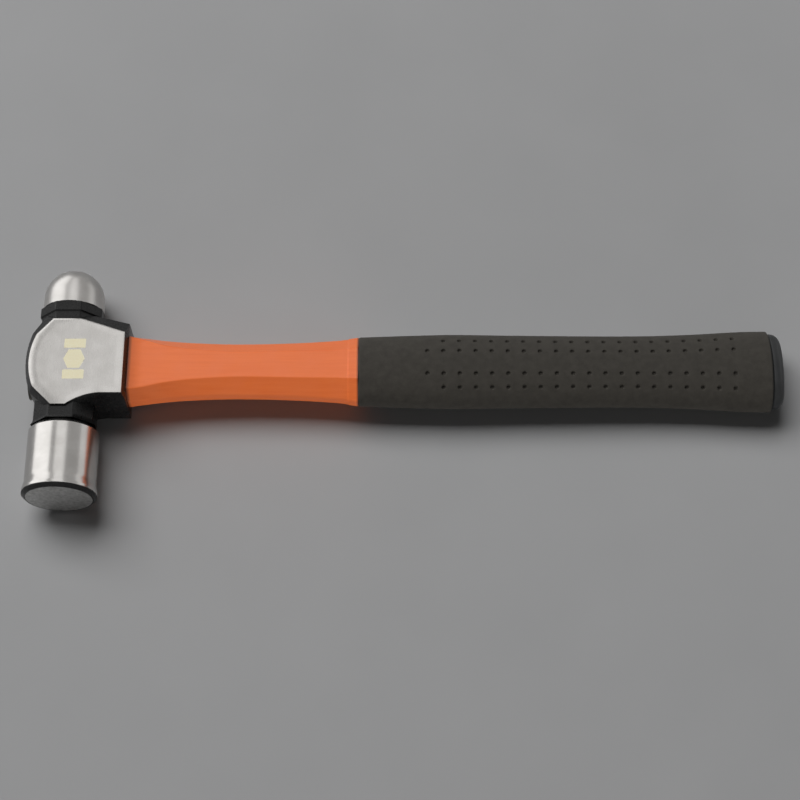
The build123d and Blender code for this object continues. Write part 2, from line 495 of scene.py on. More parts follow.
def eye_body():
    """Middle of the head, with every real edge rounded and the cheeks' rims worn lower."""
    wall = eye_outline(WALL_CORNERS)
    cheek = eye_outline(CHEEK_CORNERS)
    levels = [(WALL_Z, wall), (CHEEK_Z - CHEEK_ROLL, cheek)]
    for i in range(1, CHEEK_ROLL_STEPS + 1):
        t = i / CHEEK_ROLL_STEPS
        rise = CHEEK_ROLL * (1 - (1 - t) ** 2)
        drawn_in = towards(cheek, CHEEK_MIDDLE, CHEEK_ROLL_SHARE * t)
        levels.append((CHEEK_Z - CHEEK_ROLL + rise, drawn_in))
    upper = [[(x, y, z) for x, y in outline] for z, outline in levels]
    lower = [[(x, y, -z) for x, y, z in ring] for ring in reversed(upper)]
    bm = skin(lower + upper)
    sharp = radians(BODY_EDGE_ANGLE)
    edges = [edge for edge in bm.edges if edge.calc_face_angle(0) > sharp]
    bmesh.ops.bevel(
        bm,
        geom=edges,
        offset=BODY_EDGE,
        segments=BODY_EDGE_STEPS,
        profile=0.5,
        affect="EDGES",
        clamp_overlap=True,
    )
    return new_piece("head", bm)


def towards(outline, middle, share):
    """Outline drawn in towards a middle point by a share of the way."""
    mx, my = middle
    return [(x + (mx - x) * share, y + (my - y) * share) for x, y in outline]


def octagon(flat, y):
    """Octagon across the head's axis with rounded corners, one flat towards each cheek."""
    corner = flat / cos(radians(OCTAGON_TURN))
    angles = [radians(OCTAGON_TURN + 2 * OCTAGON_TURN * i) for i in range(8)]
    corners = [(corner * sin(a), corner * cos(a), NECK_EDGE) for a in angles]
    return [(x, y, z) for x, z in rounded(corners, closed=True)]


def neck(name, flat, y_from, y_to, flare, flare_length):
    """Octagonal neck that flares smoothly at its outer end."""
    rings = [octagon(flat, y_from)]
    start = y_to - flare_length if y_to > y_from else y_to + flare_length
    for i in range(NECK_FLARE_STEPS + 1):
        t = i / NECK_FLARE_STEPS
        rings.append(octagon(flat + flare * t**NECK_FLARE_POWER, start + (y_to - start) * t))
    return new_piece(name, skin(rings))


def poll():
    """Turned poll with a bright bevel, a flare to its land and a crowned, chamfered face."""
    corners = [
        (SHOULDER_RADIUS, SHOULDER_Y, 0),
        (POLL_RADIUS - POLL_BEVEL, POLL_SHOULDER_Y, SHOULDER_ROUND),
        (POLL_RADIUS, POLL_SHOULDER_Y - POLL_BEVEL, BEVEL_ROUND),
        (POLL_RADIUS, FLARE_Y, FLARE_ROUND),
        (FACE_RADIUS, LAND_Y, LAND_ROUND),
        (FACE_RADIUS, FACE_Y + FACE_CHAMFER, CHAMFER_ROUND),
        (FACE_RADIUS - FACE_CHAMFER, FACE_Y + FACE_CROWN, FACE_ROUND),
        (0.0, FACE_Y + FACE_CROWN, 0),
    ]
    profile = rounded(corners)[:-1]
    rim_radius = profile[-1][0]
    for i in range(1, CROWN_STEPS):
        t = i / CROWN_STEPS
        profile.append((rim_radius * (1 - t), FACE_Y + FACE_CROWN * (1 - t) ** 2))
    return new_piece("poll", turned(profile))


def ball():
    """Round pein on a short stem that widens towards the collar."""
    centre_y = BALL_TIP_Y - BALL_RADIUS
    profile = [
        (BALL_STEM_RADIUS, BALL_BASE_Y - BALL_STEM_LENGTH),
        (BALL_BASE_RADIUS, BALL_BASE_Y + BALL_BASE_GAP),
    ]
    for i in range(BALL_STEPS):
        angle = pi / 2 * i / BALL_STEPS
        profile.append((BALL_RADIUS * cos(angle), centre_y + BALL_RADIUS * sin(angle)))
    return new_piece("ball", turned(profile))


def ball_collar():
    """Octagonal collar under the ball, chamfered at the head and rounded over at the ball."""
    rings = [octagon(COLLAR_FLAT - COLLAR_CHAMFER, COLLAR_Y)]
    rings.append(octagon(COLLAR_FLAT, COLLAR_Y + COLLAR_CHAMFER))
    for i in range(1, COLLAR_STEPS + 1):
        angle = pi / 2 * i / COLLAR_STEPS
        flat = COLLAR_FLAT - COLLAR_ROUND * (1 - cos(angle))
        rings.append(octagon(flat, BALL_BASE_Y - COLLAR_ROUND + COLLAR_ROUND * sin(angle)))
    return new_piece("collar", skin(rings))


def back_surface_x(y):
    """X of the head's bulged back at a place across the handle: a parabola through three
    points of the wall's outline."""
    points = [WALL_CORNERS[name] for name in ("back_low", "back", "back_high")]
    value = 0.0
    for px, py in points:
        qy, ry = (other for _, other in points if other != py)
        value += px * (y - qy) * (y - ry) / ((py - qy) * (py - ry))
    return value


def eye_cutter():
    """Oval tool for the eye, flared at the back so that the eye's mouth is rounded."""
    angles = even_angles(OVAL_SEGMENTS)
    profile = list(EYE_CUTTER_START)
    for i in range(2, EYE_MOUTH_STEPS + 1):
        turn = pi / 2 * i / EYE_MOUTH_STEPS
        profile.append((EYE_MOUTH * (1 - sin(turn)), EYE_MOUTH * (1 - cos(turn))))
    rings = []
    for grow, depth in profile:
        ring = oval_ring(0, EYE_HALF_WIDTH + grow, EYE_HALF_HEIGHT + grow, angles)
        rings.append([(back_surface_x(y) + depth, y, z) for _, y, z in ring])
    end_x = SKIRT_X + EYE_CUTTER_OVERRUN
    rings.append(oval_ring(end_x, EYE_HALF_WIDTH, EYE_HALF_HEIGHT, angles))
    return new_piece("eye", skin(rings))


def poll_neck():
    end_y = POLL_SHOULDER_Y + POLL_NECK_REACH
    flare = (POLL_NECK_FLARE, POLL_NECK_FLARE_LENGTH)
    return neck("poll_neck", POLL_NECK_FLAT, -NECK_ROOT_Y, end_y, *flare)


def ball_neck():
    end_y = COLLAR_Y + BALL_NECK_REACH
    flare = (BALL_NECK_FLARE, BALL_NECK_FLARE_LENGTH)
    return neck("ball_neck", BALL_NECK_FLAT, NECK_ROOT_Y, end_y, *flare)


def head_forging():
    """Whole head, in one piece as it is forged, with the eye cut through it."""
    head = eye_body()
    for part in (poll_neck, poll, ball_neck, ball_collar, ball):
        combine(head, part(), "UNION")
    combine(head, eye_cutter(), "DIFFERENCE")
    shade(head, sharp_angle=32)
    return head


# Handle

def jacket_ring(x):
    """Section of the jacket: a rounded octagon with broad flat panels, raised at the band."""
    half_width, half_thickness, panel_half = smooth_between(JACKET_SECTIONS, x)
    band = BAND_HEIGHT * ease((x - (GRIP_FRONT_X - BAND_LENGTH)) / BAND_RISE + 0.5)
    half_width += band
    half_thickness += band
    corners = [
        (half_width, JACKET_EDGE_HALF, SIDE_EDGE_ROUND),
        (panel_half, half_thickness, PANEL_EDGE_ROUND),
        (-panel_half, half_thickness, PANEL_EDGE_ROUND),
        (-half_width, JACKET_EDGE_HALF, SIDE_EDGE_ROUND),
        (-half_width, -JACKET_EDGE_HALF, SIDE_EDGE_ROUND),
        (-panel_half, -half_thickness, PANEL_EDGE_ROUND),
        (panel_half, -half_thickness, PANEL_EDGE_ROUND),
        (half_width, -JACKET_EDGE_HALF, SIDE_EDGE_ROUND),
    ]
    return [(x, y, z) for y, z in rounded(corners, closed=True)]


def bore_ring(x, count):
    """Section of the core's bore: a rounded rectangle with a given number of points."""
    wide, thick = CORE_HIGH.y, CORE_HIGH.z
    corners = [(wide, thick), (-wide, thick), (-wide, -thick), (wide, -thick)]
    steps = count // 4 - 1
    outline = rounded([(y, z, CORE_CORNER) for y, z in corners], steps, closed=True)
    return [(x, y, z) for y, z in outline]


def jacket_stations():
    """Places along the jacket, closer together on the flare and where the band rises."""
    flare_end = SKIRT_X + JACKET_FLARE_LENGTH
    rise_start = GRIP_FRONT_X - BAND_LENGTH - BAND_MARGIN
    rise_end = rise_start + 2 * BAND_MARGIN
    stations = [SKIRT_X]
    stations += spread(SKIRT_X, flare_end, JACKET_FINE_STEP)
    stations += spread(flare_end, rise_start, JACKET_STEP)
    stations += spread(rise_start, rise_end, BAND_STEP)
    stations += spread(rise_end, GRIP_FRONT_X, JACKET_FINE_STEP)
    return stations


def jacket():
    """Moulded jacket with its tang inside the grip, and the core's bore through both."""
    rings = [jacket_ring(x) for x in jacket_stations()]
    angles = [atan2(z / TANG_HALF_THICKNESS, y / TANG_HALF_WIDTH) for _, y, z in rings[0]]
    for x in (GRIP_FRONT_X, JACKET_END_X):
        rings.append(oval_ring(x, TANG_HALF_WIDTH, TANG_HALF_THICKNESS, angles))
    for x in (JACKET_END_X, SKIRT_X):
        rings.append(bore_ring(x, len(rings[0])))
    piece = new_piece("jacket", skin(rings, "joined"))
    shade(piece, sharp_angle=40)
    return piece


def dimple_columns():
    first = DIMPLE_LAST_X - DIMPLE_PITCH * (DIMPLE_COUNT - 1)
    return [first + DIMPLE_PITCH * i for i in range(DIMPLE_COUNT)]


def dimple_rows():
    """Angles from +Y of the rows all round the grip, each named inner or outer."""
    rows = []
    middle_half_width = smooth_between(GRIP_SECTIONS, (GRIP_FRONT_X + GRIP_END_X) / 2)[0]
    for y, kind in ((DIMPLE_ROWS_Y[1], "outer"), (DIMPLE_ROWS_Y[0], "inner")):
        angle = acos(y / middle_half_width)
        for turn in (angle, pi - angle, pi + angle, 2 * pi - angle):
            rows.append((turn, kind))
    return sorted(rows)


def arc_rate(angle, half_width, half_thickness):
    """Millimetres along an oval for each radian of its angle."""
    return hypot(half_width * sin(angle), half_thickness * cos(angle))


def grip_grid():
    """Stations along and round the grip: (value, cell, place in the cell) for each."""
    stations = []
    at = GRIP_FRONT_X + GRIP_LIP
    for number, x in enumerate(dimple_columns()):
        step = GRIP_STEP if number == 0 else DIMPLE_CELL
        stations += [(value, None, 0.0) for value in spread(at, x - DIMPLE_CELL, step)[:-1]]
        stations += [(x + DIMPLE_CELL * s, number, s) for s in CELL_STEPS]
        at = x + DIMPLE_CELL
    stations += [(value, None, 0.0) for value in spread(at, GRIP_END_X - GRIP_LIP, GRIP_STEP)]
    rounds = []
    half_width, half_thickness = smooth_between(GRIP_SECTIONS, (GRIP_FRONT_X + GRIP_END_X) / 2)
    rows = dimple_rows()
    last_angle, _ = rows[-1]
    at = last_angle - 2 * pi + DIMPLE_CELL / arc_rate(last_angle, half_width, half_thickness)
    for number, (angle, _) in enumerate(rows):
        half_cell = DIMPLE_CELL / arc_rate(angle, half_width, half_thickness)
        between_rows = spread(at, angle - half_cell, GRIP_ANGLE_STEP)[:-1]
        rounds += [(value, None, 0.0) for value in between_rows]
        rounds += [(angle + half_cell * s, number, s) for s in CELL_STEPS]
        at = angle + half_cell
    return stations, rounds


def dimple_depth(distance):
    """Depth of a dimple at a distance from its middle, with a rounded rim and floor."""
    share = distance / DIMPLE_RADIUS
    return DIMPLE_DEPTH * (1 - ease((share - DIMPLE_FLOOR_SHARE) / DIMPLE_RIM_SHARE))


def grip_point(x, angle, sink=0.0):
    """Point of the grip's oval at an angle from +Y, sunk in by a depth."""
    half_width, half_thickness = smooth_between(GRIP_SECTIONS, x)
    normal = Vector((0, cos(angle) * half_thickness, sin(angle) * half_width)).normalized()
    return Vector((x, half_width * cos(angle), half_thickness * sin(angle))) - normal * sink


def dimpled_point(station, round_station, rows):
    """Point of the grip. Inside a dimple's cell the grid's squares are bent into circles."""
    (x, column, p), (angle, row, q) = station, round_station
    if column is None or row is None or (column == 0 and rows[row][1] == "outer"):
        return grip_point(x, angle)
    reach = max(abs(p), abs(q))
    if reach == 0:
        return grip_point(x, angle, DIMPLE_DEPTH)
    circle = 1 - ease((reach - CELL_ROUND_SHARE) / (1 - CELL_ROUND_SHARE))
    shrink = 1 + circle * (reach / hypot(p, q) - 1)
    moved_x = x + DIMPLE_CELL * p * (shrink - 1)
    half_cell = DIMPLE_CELL / arc_rate(rows[row][0], *smooth_between(GRIP_SECTIONS, x))
    moved_angle = angle + half_cell * q * (shrink - 1)
    return grip_point(moved_x, moved_angle, dimple_depth(hypot(p, q) * shrink * DIMPLE_CELL))


def lip_rings(x, inward, angles):
    """Rings that round the sleeve's edge over, from its flat end out to its surface."""
    rings = []
    for i in range(GRIP_LIP_STEPS):
        turn = pi / 2 * i / GRIP_LIP_STEPS
        sink = GRIP_LIP * (1 - sin(turn))
        at = x + inward * GRIP_LIP * (1 - cos(turn))
        rings.append([grip_point(at, a, sink) for a in angles])
    return rings


def grip():
    """Rubber sleeve over the jacket's tang, with dimples pressed into both broad sides."""
    stations, rounds = grip_grid()
    rows = dimple_rows()
    angles = [angle for angle, _, _ in rounds]
    rings = lip_rings(GRIP_FRONT_X, 1, angles)
    rings.append([grip_point(GRIP_FRONT_X + GRIP_LIP, a) for a in angles])
    for station in stations:
        rings.append([dimpled_point(station, r, rows) for r in rounds])
    rings += reversed(lip_rings(GRIP_END_X, -1, angles))
    for x in (GRIP_END_X, GRIP_FRONT_X):
        rings.append(oval_ring(x, TANG_HALF_WIDTH, TANG_HALF_THICKNESS, angles))
    piece = new_piece("grip", skin(rings, "joined"))
    shade(piece, sharp_angle=50)
    return piece


def cap():
    """Hard cap: a groove at the sleeve, a straight side, a large rounding and its plug."""
    _, end_half_width, end_half_thickness = GRIP_SECTIONS[-1]
    wide, thick = end_half_width - CAP_INSET, end_half_thickness - CAP_INSET
    angles = even_angles(OVAL_SEGMENTS)
    corners = [
        (CAP_INSET + CAP_FOOT, GRIP_END_X, 0),
        (CAP_GROOVE, GRIP_END_X, CAP_GROOVE_ROUND),
        (0.0, GRIP_END_X + CAP_GROOVE_WIDTH, CAP_GROOVE_EDGE),
        (0.0, BUTT_X, CAP_CORNER),
        (thick - CAP_FLAT_HALF, BUTT_X, 0),
    ]
    profile = rounded(corners, CAP_STEPS)
    rings = [oval_ring(JACKET_END_X, TANG_HALF_WIDTH, TANG_HALF_THICKNESS, angles)]
    rings.append(oval_ring(GRIP_END_X, TANG_HALF_WIDTH, TANG_HALF_THICKNESS, angles))
    for inset, x in profile:
        rings.append(oval_ring(x, wide - inset, thick - inset, angles))
    piece = new_piece("cap", skin(rings))
    shade(piece, sharp_angle=40)
    return piece


def resin():
    """Epoxy in the eye, its poured face drawn up against the eye and the core."""
    angles = even_angles(OVAL_SEGMENTS)
    inner_wide, inner_thick = CORE_HIGH.y - RESIN_OVERLAP, CORE_HIGH.z - RESIN_OVERLAP
    rings = []
    for i in range(RESIN_STEPS + 1):
        t = i / RESIN_STEPS
        sag = RESIN_SAG * (4 * t * (1 - t)) ** RESIN_SAG_POWER
        wide = EYE_HALF_WIDTH + (inner_wide - EYE_HALF_WIDTH) * t
        thick = EYE_HALF_HEIGHT + (inner_thick - EYE_HALF_HEIGHT) * t
        rings.append(oval_ring(RESIN_LOW.x + sag, wide, thick, angles))
    rings.append(oval_ring(SKIRT_X, inner_wide, inner_thick, angles))
    rings.append(oval_ring(SKIRT_X, EYE_HALF_WIDTH, EYE_HALF_HEIGHT, angles))
    piece = new_piece("resin", skin(rings, "joined"))
    shade(piece, sharp_angle=40)
    return piece


def plate(outline):
    """Thin plate of ink on the cheek, from its closed outline."""
    levels = (CHEEK_Z - MARK_THICKNESS / 2, CHEEK_Z + MARK_THICKNESS / 2)
    return skin([[(x, y, z) for x, y in outline] for z in levels])


def cheek_mark():
    """Plain printed mark: a hexagon between two bars."""
    x, y = MARK_CENTRE
    half_w, half_l, half_h = MARK_WIDTH / 2, MARK_LENGTH / 2, MARK_HEXAGON / 2
    flat = half_w * MARK_HEXAGON_FLAT
    hexagon = [(half_w, 0), (flat, half_h), (-flat, half_h)]
    hexagon += [(-half_w, 0), (-flat, -half_h), (flat, -half_h)]
    shapes = [[(x + dx, y + dy, MARK_HEXAGON_ROUND) for dx, dy in hexagon]]
    for side in (-1, 1):
        near, far = side * (half_l - MARK_BAR), side * half_l
        bar = [(-half_w, near), (half_w, near), (half_w, far), (-half_w, far)]
        shapes.append([(x + dx, y + dy, MARK_BAR_ROUND) for dx, dy in bar])
    bm = bmesh.new()
    for shape in shapes:
        part = plate(rounded(shape, closed=True))
        mesh = bpy.data.meshes.new("shape")
        part.to_mesh(mesh)
        bm.from_mesh(mesh)
        bpy.data.meshes.remove(mesh)
    return new_piece("cheek_mark", bm)


# Materials

def add(tree, kind, inputs=None, **settings):
    """New shader node; an input is a value, or a socket to link."""
    node = tree.nodes.new(kind)
    for key, value in settings.items():
        setattr(node, key, value)
    for key, value in (inputs or {}).items():
        if isinstance(value, bpy.types.NodeSocket):
            tree.links.new(value, node.inputs[key])
        else:
            node.inputs[key].default_value = value
    return node


def colour(red, green, blue):
    return (red, green, blue, 1.0)


def new_material(name, **values):
    """Principled material with values on its shader's sockets, its tree and its shader."""
    material = bpy.data.materials.new(name)
    material.use_nodes = True
    tree = material.node_tree
    shader = tree.nodes["Principled BSDF"]
    for key, value in values.items():
        shader.inputs[key.replace("_", " ")].default_value = value
    return material, tree, shader


def place_in_mm(tree):
    """Surface point in millimetres from the crossing."""
    there = add(tree, "ShaderNodeTexCoord").outputs["Object"]
    values = {"Vector": there, "Location": -CROSSING / MM, "Scale": (1 / MM,) * 3}
    return add(tree, "ShaderNodeMapping", values).outputs[0]


def stretched(tree, vector, scale):
    return add(tree, "ShaderNodeMapping", {"Vector": vector, "Scale": scale}).outputs[0]


def noise(tree, vector, scale, detail=3.0, roughness=0.5):
    values = {"Vector": vector, "Scale": scale, "Detail": detail, "Roughness": roughness}
    return add(tree, "ShaderNodeTexNoise", values).outputs[0]


def maths(tree, operation, first, second=0.0, third=0.0, clamp=False):
    node = add(tree, "ShaderNodeMath", {0: first, 1: second, 2: third}, operation=operation)
    node.use_clamp = clamp
    return node.outputs[0]


def span(tree, value, low, high, to_low=0.0, to_high=1.0):
    """Value carried from one range to another, clamped."""
    values = {"Value": value, "From Min": low, "From Max": high}
    values.update({"To Min": to_low, "To Max": to_high})
    return add(tree, "ShaderNodeMapRange", values).outputs[0]


def past(tree, value, edge, soft):
    """Mask that comes on as a value rises past an edge, or falls past it where soft < 0."""
    return span(tree, value, edge, edge + soft)


def blend(tree, share, first, second):
    """Colour between two colours."""
    node = add(tree, "ShaderNodeMix", data_type="RGBA")
    for key, value in ((0, share), (6, first), (7, second)):
        if isinstance(value, bpy.types.NodeSocket):
            tree.links.new(value, node.inputs[key])
        else:
            node.inputs[key].default_value = value
    return node.outputs[2]


def between(tree, share, first, second):
    """Number between two numbers."""
    return maths(tree, "MULTIPLY_ADD", share, maths(tree, "SUBTRACT", second, first), first)


def bump(tree, height, strength, distance, normal=None):
    values = {"Height": height, "Strength": strength, "Distance": distance * MM}
    if normal is not None:
        values["Normal"] = normal
    return add(tree, "ShaderNodeBump", values).outputs[0]


def both(tree, first, second):
    """Mask where two masks are on."""
    return maths(tree, "MULTIPLY", first, second)


def either(tree, first, second):
    """Mask where one of two masks is on."""
    return maths(tree, "MAXIMUM", first, second)


def head_material():
    """Ground and turned steel on the cheeks, poll and ball; black paint elsewhere."""
    material, tree, shader = new_material("forged_steel", Specular_IOR_Level=0.3)
    place = place_in_mm(tree)
    axes = add(tree, "ShaderNodeSeparateXYZ", {"Vector": place})
    y, z = axes.outputs["Y"], axes.outputs["Z"]
    ragged = span(tree, noise(tree, place, 0.9, 4), 0.2, 0.8, -PAINT_RAGGED, PAINT_RAGGED)
    ragged_y = maths(tree, "ADD", y, ragged)
    height = maths(tree, "ADD", maths(tree, "ABSOLUTE", z), ragged)

    # Where the steel is bare
    above_poll = past(tree, ragged_y, CHEEK_PAINT_FACE_Y, PAINT_SOFT)
    below_ball = past(tree, ragged_y, CHEEK_PAINT_BALL_Y, -PAINT_SOFT)
    on_top = past(tree, height, CHEEK_PAINT_Z, CHEEK_PAINT_SOFT)
    cheek = both(tree, on_top, both(tree, above_poll, below_ball))
    below_neck = past(tree, ragged_y, POLL_PAINT_Y, -PAINT_SOFT)
    above_land = past(tree, ragged_y, LAND_PAINT_Y, PAINT_SOFT)
    turned_poll = both(tree, below_neck, above_land)
    pein = past(tree, ragged_y, PEIN_PAINT_Y, PAINT_SOFT)
    from_axis = stretched(tree, place, (1.0, 0.0, 1.0))
    radius = add(tree, "ShaderNodeVectorMath", {0: from_axis}, operation="LENGTH").outputs["Value"]
    ragged_radius = maths(tree, "ADD", radius, ragged)
    in_ring = past(tree, ragged_radius, FACE_PAINT_RADIUS, -PAINT_SOFT)
    on_face = past(tree, ragged_y, FACE_PAINT_Y, -FACE_PAINT_SOFT)
    face = both(tree, on_face, in_ring)
    round_parts = either(tree, turned_poll, pein)
    bare = either(tree, either(tree, cheek, face), round_parts)

    # Fine tool marks: rings on the turned parts, straight lines on the cheeks
    rings = noise(tree, stretched(tree, place, (0.12, 9.0, 0.12)), 1.0, 5, 0.65)
    lines = noise(tree, stretched(tree, place, (7.0, 0.16, 0.4)), 1.0, 5, 0.65)
    marks = between(tree, round_parts, lines, rings)
    cloud = noise(tree, place, 0.13, 4)
    grime = noise(tree, place, 0.55, 5, 0.6)

    patches = span(tree, cloud, 0.35, 0.65)
    steel = blend(tree, patches, colour(0.55, 0.535, 0.515), colour(0.62, 0.605, 0.585))
    steel = blend(tree, span(tree, marks, 0.3, 0.75, 0.0, 0.25), steel, colour(0.5, 0.485, 0.47))
    wear_and_painted_shade = span(tree, grime, 0.35, 0.65)
    worn_face = blend(tree, wear_and_painted_shade, colour(0.40, 0.40, 0.39), colour(0.60, 0.595, 0.585))
    steel = blend(tree, face, steel, worn_face)
    paint = blend(tree, patches, colour(0.006, 0.006, 0.006), colour(0.010, 0.010, 0.010))
    tree.links.new(blend(tree, bare, paint, steel), shader.inputs["Base Color"])
    tree.links.new(bare, shader.inputs["Metallic"])

    cheek_rough = span(tree, marks, 0.3, 0.7, 0.25, 0.31)
    poll_rough = span(tree, marks, 0.3, 0.7, 0.18, 0.26)
    pein_rough = span(tree, marks, 0.3, 0.7, 0.27, 0.36)
    steel_rough = between(tree, round_parts, cheek_rough, poll_rough)
    steel_rough = between(tree, pein, steel_rough, pein_rough)
    steel_rough = between(tree, face, steel_rough, 0.5)
    paint_rough = span(tree, grime, 0.3, 0.7, 0.22, 0.36)
    tree.links.new(between(tree, bare, paint_rough, steel_rough), shader.inputs["Roughness"])

    scale = noise(tree, place, 1.4, 4, 0.55)
    paint_relief = maths(tree, "MULTIPLY", scale, 0.08)
    steel_relief = maths(tree, "MULTIPLY", marks, 0.004)
    relief = between(tree, bare, paint_relief, steel_relief)
    tree.links.new(bump(tree, relief, 1.0, 1.0), shader.inputs["Normal"])
    return material


def jacket_material():
    """Moulded orange plastic, with faint flow streaks, and painted shade where it meets the head
    and the grip.
    """
    material, tree, shader = new_material("orange_plastic", Specular_IOR_Level=0.5, Coat_Weight=0.0)
    place = place_in_mm(tree)
    along = add(tree, "ShaderNodeSeparateXYZ", {"Vector": place}).outputs["X"]
    streak = noise(tree, stretched(tree, place, (0.03, 0.7, 0.7)), 1.0, 4)
    cloud = noise(tree, place, 0.12, 3)
    grain = noise(tree, place, 3.0, 3)
    streaks = span(tree, streak, 0.3, 0.7)
    base = blend(tree, streaks, colour(0.87, 0.170, 0.035), colour(0.93, 0.205, 0.048))
    base = blend(tree, span(tree, cloud, 0.35, 0.7, 0.0, 0.5), base, colour(0.9, 0.2, 0.06))
    # Painted shade: thin strips where the jacket meets the head and the grip are blended most of
    # the way to near black
    painted_shade_at_head = span(tree, along, SKIRT_X + 1.5, SKIRT_X + 0.2)
    painted_shade_at_grip = span(tree, along, GRIP_FRONT_X - 0.9, GRIP_FRONT_X - 0.1)
    wear_and_painted_shade = maths(tree, "MULTIPLY", either(tree, painted_shade_at_head, painted_shade_at_grip), 0.75)
    base = blend(tree, wear_and_painted_shade, base, colour(0.05, 0.018, 0.01))
    tree.links.new(base, shader.inputs["Base Color"])
    tree.links.new(span(tree, grain, 0.3, 0.7, 0.27, 0.35), shader.inputs["Roughness"])
    grain_relief = maths(tree, "MULTIPLY", grain, 0.012)
    relief = maths(tree, "MULTIPLY_ADD", streak, 0.04, grain_relief)
    tree.links.new(bump(tree, relief, 1.0, 1.0), shader.inputs["Normal"])
    return material


def grip_material():
    """Matte charcoal rubber, with a fine moulded grain and a little dust."""
    material, tree, shader = new_material("charcoal_rubber", Specular_IOR_Level=0.35)
    place = place_in_mm(tree)
    cloud = noise(tree, place, 0.28, 5, 0.6)
    grain = noise(tree, place, 2.6, 4, 0.65)
    patches = span(tree, cloud, 0.3, 0.7)
    base = blend(tree, patches, colour(0.034, 0.0310, 0.0262), colour(0.050, 0.0458, 0.0390))
    dust = span(tree, grain, 0.5, 0.8, 0.0, 0.45)
    base = blend(tree, dust, base, colour(0.075, 0.07, 0.062))
    tree.links.new(base, shader.inputs["Base Color"])
    tree.links.new(span(tree, grain, 0.3, 0.7, 0.7, 0.86), shader.inputs["Roughness"])
    relief = maths(tree, "MULTIPLY", grain, 0.07)
    tree.links.new(bump(tree, relief, 1.0, 1.0), shader.inputs["Normal"])
    return material


def cap_material():
    """Hard black plastic with a satin face."""
    material, tree, shader = new_material("black_plastic", Specular_IOR_Level=0.5)
    place = place_in_mm(tree)
    cloud = noise(tree, place, 0.2, 4)
    grain = noise(tree, place, 3.5, 3, 0.6)
    patches = span(tree, cloud, 0.3, 0.7)
    base = blend(tree, patches, colour(0.0105, 0.0115, 0.0122), colour(0.0185, 0.0198, 0.0210))
    tree.links.new(base, shader.inputs["Base Color"])
    tree.links.new(span(tree, grain, 0.3, 0.7, 0.32, 0.44), shader.inputs["Roughness"])
    relief = maths(tree, "MULTIPLY", grain, 0.03)
    tree.links.new(bump(tree, relief, 1.0, 1.0), shader.inputs["Normal"])
    return material


def resin_material():
    """Dark epoxy with a wet gloss and a few small bubbles."""
    material, tree, shader = new_material("dark_epoxy", Specular_IOR_Level=0.5)
    place = place_in_mm(tree)
    cloud = noise(tree, place, 0.5, 4)
    bubbles = add(tree, "ShaderNodeTexVoronoi", {"Vector": place, "Scale": 0.7}).outputs["Distance"]
    patches = span(tree, cloud, 0.3, 0.7)
    base = blend(tree, patches, colour(0.035, 0.031, 0.024), colour(0.07, 0.062, 0.045))
    tree.links.new(base, shader.inputs["Base Color"])
    tree.links.new(span(tree, cloud, 0.3, 0.7, 0.12, 0.24), shader.inputs["Roughness"])
    pit = span(tree, bubbles, 0.0, 0.16, -0.12, 0.0)
    tree.links.new(bump(tree, pit, 1.0, 1.0), shader.inputs["Normal"])
    return material


def core_material():
    """Pultruded glass fibre: pale resin with the cut ends of its fibre bundles."""
    material, tree, shader = new_material("glass_fibre", Specular_IOR_Level=0.5)
    place = place_in_mm(tree)
    along_fibres = stretched(tree, place, (0.02, 1.0, 1.0))
    cells = add(tree, "ShaderNodeTexVoronoi", {"Vector": along_fibres, "Scale": 1.6})
    bundles = cells.outputs["Distance"]
    cloud = noise(tree, along_fibres, 0.4, 4)
    edges = span(tree, bundles, 0.1, 0.6)
    base = blend(tree, edges, colour(0.62, 0.58, 0.43), colour(0.36, 0.32, 0.2))
    base = blend(tree, span(tree, cloud, 0.3, 0.7, 0.0, 0.4), base, colour(0.5, 0.45, 0.3))
    tree.links.new(base, shader.inputs["Base Color"])
    tree.links.new(span(tree, bundles, 0.1, 0.6, 0.45, 0.65), shader.inputs["Roughness"])
    relief = maths(tree, "MULTIPLY", bundles, -0.05)
    tree.links.new(bump(tree, relief, 1.0, 1.0), shader.inputs["Normal"])
    return material


def mark_material():
    """Pale gold ink, slightly uneven."""
    material, tree, shader = new_material("pale_gold_ink", Specular_IOR_Level=0.5)
    place = place_in_mm(tree)
    cover = noise(tree, place, 1.6, 4, 0.6)
    patches = span(tree, cover, 0.3, 0.7)
    base = blend(tree, patches, colour(0.88, 0.80, 0.52), colour(0.94, 0.89, 0.68))
    tree.links.new(base, shader.inputs["Base Color"])
    tree.links.new(span(tree, cover, 0.3, 0.7, 0.45, 0.6), shader.inputs["Roughness"])
    relief = maths(tree, "MULTIPLY", cover, 0.03)
    tree.links.new(bump(tree, relief, 1.0, 1.0), shader.inputs["Normal"])
    return material


def floor_material():
    """Plain pale studio paper."""
    material, tree, shader = new_material("pale_paper", Specular_IOR_Level=0.3)
    place = place_in_mm(tree)
    cloud = noise(tree, place, 0.02, 3)
    patches = span(tree, cloud, 0.3, 0.7)
    base = blend(tree, patches, colour(0.383, 0.384, 0.388), colour(0.398, 0.399, 0.403))
    tree.links.new(base, shader.inputs["Base Color"])
    tree.links.new(span(tree, cloud, 0.3, 0.7, 0.75, 0.8), shader.inputs["Roughness"])
    return material


# Studio

FLOOR_RADIUS = 2300.0
LAND_TOUCH = 1.0  # from the land's edge to where it rests, towards the face

# Distance of the lights in metres, the point they face in millimetres, and the strength
# of the room's even light
PANEL_DISTANCE = 3.6
PANEL_AIM = (30.0, 0.0, 0.0)
ROOM_LIGHT = 0.43


